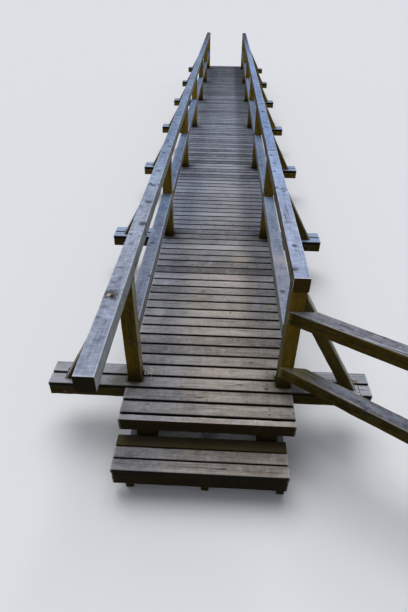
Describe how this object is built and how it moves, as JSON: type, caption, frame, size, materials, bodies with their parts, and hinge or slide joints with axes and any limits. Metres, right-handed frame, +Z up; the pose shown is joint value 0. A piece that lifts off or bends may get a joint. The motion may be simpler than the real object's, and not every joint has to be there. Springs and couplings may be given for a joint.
{
  "type": "timber footbridge",
  "caption": "Straight timber footbridge with a slatted board deck, square post and rail parapets, raking braces on long cross timbers, a low step at one end and a wing fence.",
  "frame": {"origin": "middle of the near sill's underside, on the bridge's centreline below the first pair of posts", "axes": "+Y runs along the bridge from the near end with the step to the far end, +X to the right, +Z up"},
  "size_m": [4.0015, 16.889, 1.56],
  "materials": {
    "rail_timber": "sawn softwood silvered by the weather, with knots and drying cracks",
    "frame_timber": "sawn softwood, dark olive brown, with green algae low down and in the shade",
    "deck_board": "worn softwood boards, grey brown, with fine grain and small pale scuffs",
    "beam_timber": "rough sawn timber, dark brown and damp"
  },
  "bodies": {
    "root": {"main_beam_left": "beam_timber", "main_beam_right": "beam_timber", "sill_near": "beam_timber", "sill_far": "beam_timber", "step_bearers": "beam_timber", "transoms_1": "frame_timber", "transoms_2": "frame_timber", "transoms_3": "frame_timber", "transoms_4": "frame_timber", "transoms_5": "frame_timber", "transoms_6": "frame_timber", "transoms_7": "frame_timber", "posts_1": "frame_timber", "posts_2": "frame_timber", "posts_3": "frame_timber", "posts_4": "frame_timber", "posts_5": "frame_timber", "posts_6": "frame_timber", "posts_7": "frame_timber", "braces_1": "frame_timber", "braces_2": "frame_timber", "braces_3": "frame_timber", "braces_4": "frame_timber", "braces_5": "frame_timber", "braces_6": "frame_timber", "braces_7": "frame_timber", "handrail_left": "rail_timber", "handrail_right": "rail_timber", "midrail_left": "rail_timber", "midrail_right": "rail_timber", "deck_bay_1": "deck_board", "deck_bay_2": "deck_board", "deck_bay_3": "deck_board", "deck_bay_4": "deck_board", "deck_bay_5": "deck_board", "deck_bay_6": "deck_board", "deck_end_near": "deck_board", "deck_end_far": "deck_board", "step_treads": "deck_board", "trimmer_near": "frame_timber", "trimmer_far": "frame_timber", "step_riser": "frame_timber", "wing_rail_top": "rail_timber", "wing_rail_mid": "rail_timber", "wing_post": "frame_timber"}
  },
  "joints": []
}
